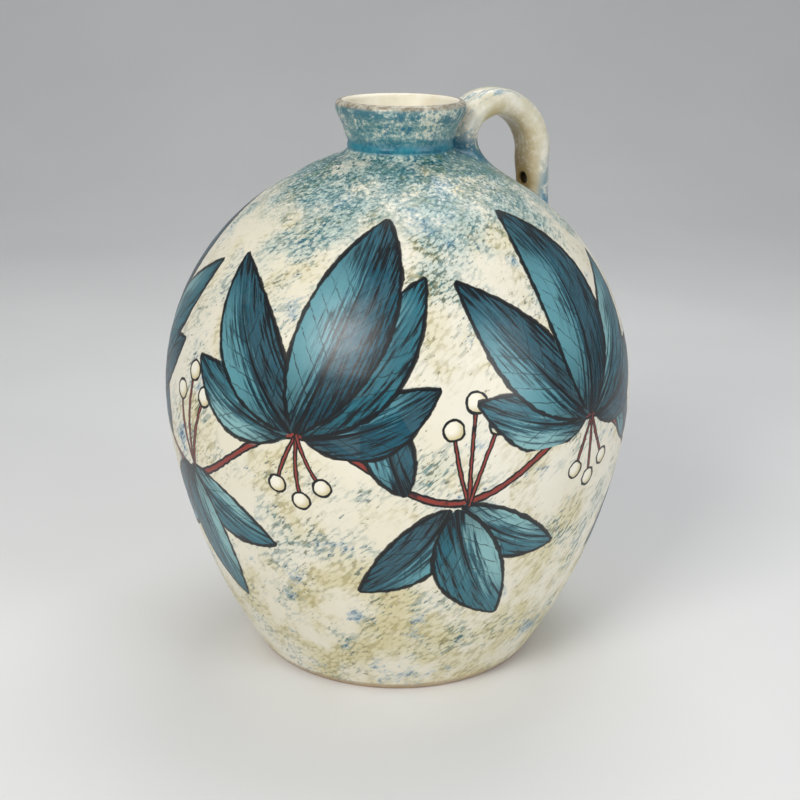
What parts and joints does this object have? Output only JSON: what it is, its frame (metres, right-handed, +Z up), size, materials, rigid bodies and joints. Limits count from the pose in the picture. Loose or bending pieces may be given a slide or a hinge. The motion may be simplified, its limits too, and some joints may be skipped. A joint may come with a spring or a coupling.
{
  "type": "puzzle jug",
  "caption": "Round-shouldered glazed pottery jug with a flared neck and a small hollow arched handle, pierced on its inner face, that leads through a hidden pipe to the floor.",
  "frame": {"origin": "centre of the foot on the table", "axes": "+Z up along the jug's axis, +X towards the handle, +Y to the left of the handle seen from the axis"},
  "size_m": [0.202, 0.202, 0.2428],
  "materials": {
    "body_glaze": "satin-gloss cream glaze with sponged teal and olive",
    "neck_glaze": "satin-gloss teal-washed glaze",
    "handle_glaze": "satin-gloss cream glaze with teal streaks",
    "inner_clay": "thinly glazed clay"
  },
  "bodies": {
    "root": {"lower_body": "body_glaze", "upper_body": "body_glaze", "neck": "neck_glaze", "handle": "handle_glaze", "root_lute": "neck_glaze", "foot_lute": "handle_glaze", "siphon_tube": "inner_clay", "tube_collar": "inner_clay", "tube_lug": "inner_clay"}
  },
  "joints": []
}
